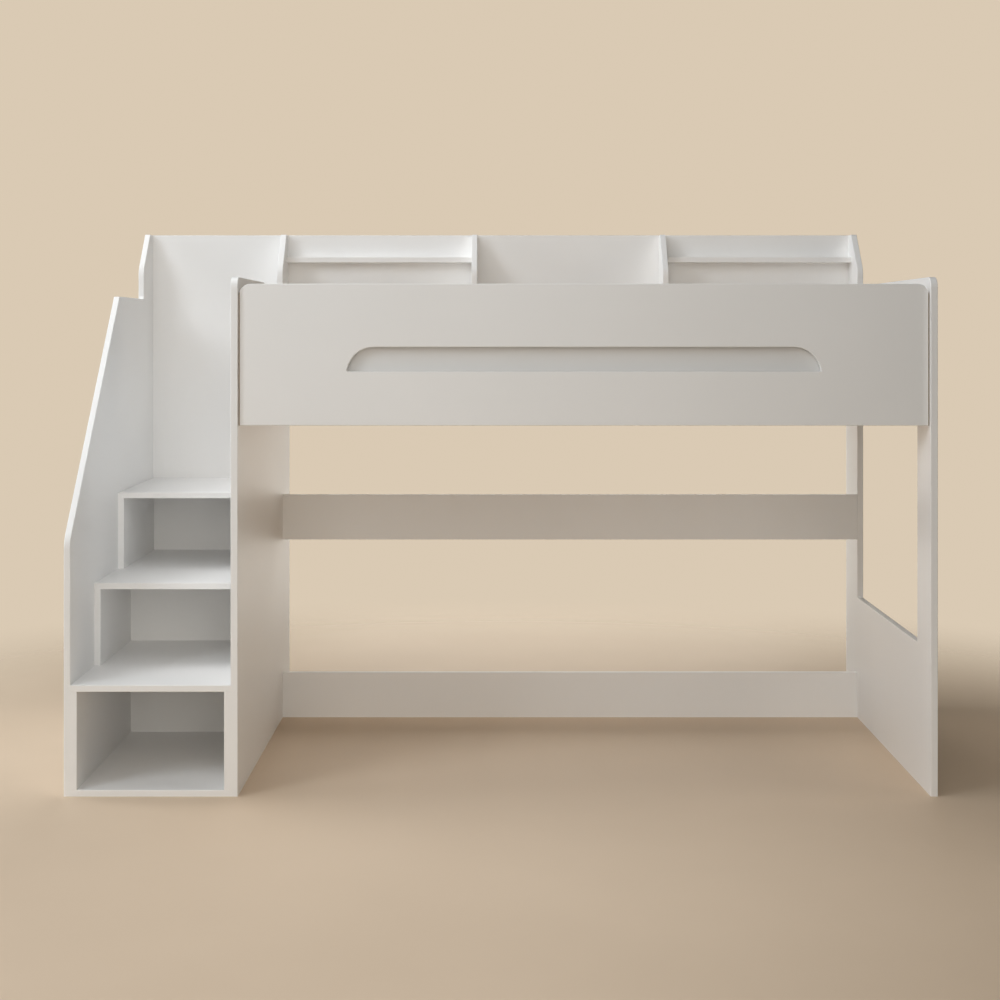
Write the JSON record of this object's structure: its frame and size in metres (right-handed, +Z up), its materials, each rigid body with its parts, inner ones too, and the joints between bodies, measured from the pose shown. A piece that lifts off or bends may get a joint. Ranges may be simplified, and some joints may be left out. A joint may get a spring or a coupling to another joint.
{
  "type": "high sleeper bed",
  "caption": "White panel high sleeper bed with storage stairs, a slotted guard panel, a rear bookcase, an open space under the bed and a window in the end panel.",
  "frame": {"origin": "on the floor, at the middle of the footprint", "axes": "+X along the bed to the right as seen from the front, +Y from the front to the wall, +Z up"},
  "size_m": [2.422, 1.117, 1.619],
  "materials": {
    "white_board": "satin white faced board",
    "pine": "planed pine",
    "beech": "plain beech",
    "zinc_steel": "zinc plated",
    "white_plastic": "moulded white plastic"
  },
  "bodies": {
    "root": {"back_screws": "zinc_steel", "barrel_nuts": "zinc_steel", "bookcase_back_panel": "white_board", "bookcase_floor": "white_board", "cam_bolts": "zinc_steel", "cam_cover_caps": "white_plastic", "cam_discs": "zinc_steel", "cleat_screws": "zinc_steel", "first_step_tread": "white_board", "front_cleat": "pine", "front_guard_panel": "white_board", "guard_bolt_caps": "white_plastic", "guard_bolts": "zinc_steel", "left_bay_divider": "white_board", "left_bay_ledge": "white_board", "left_end_panel": "white_board", "lower_cubby_floor": "white_board", "lower_cubby_left_side": "white_board", "lower_cubby_right_side": "white_board", "lower_stair_back": "white_board", "middle_cubby_left_side": "white_board", "middle_cubby_right_side": "white_board", "rear_bed_panel": "white_board", "rear_cleat": "pine", "rear_floor_rail": "white_board", "rear_mid_rail": "white_board", "right_bay_divider": "white_board", "right_bay_ledge": "white_board", "right_end_panel": "white_board", "second_step_tread": "white_board", "slat_01": "pine", "slat_02": "pine", "slat_03": "pine", "slat_04": "pine", "slat_05": "pine", "slat_06": "pine", "slat_07": "pine", "slat_08": "pine", "slat_09": "pine", "slat_10": "pine", "slat_11": "pine", "slat_12": "pine", "slat_13": "pine", "slat_14": "pine", "slat_screws": "zinc_steel", "slot_backing_panel": "white_board", "slot_backing_screws": "zinc_steel", "slot_backing_spacers": "white_plastic", "stair_side_panel": "white_board", "tall_stair_back": "white_board", "third_step_tread": "white_board", "upper_cubby_back": "white_board", "upper_cubby_left_side": "white_board", "upper_cubby_right_side": "white_board", "wooden_dowels": "beech"}
  },
  "joints": []
}
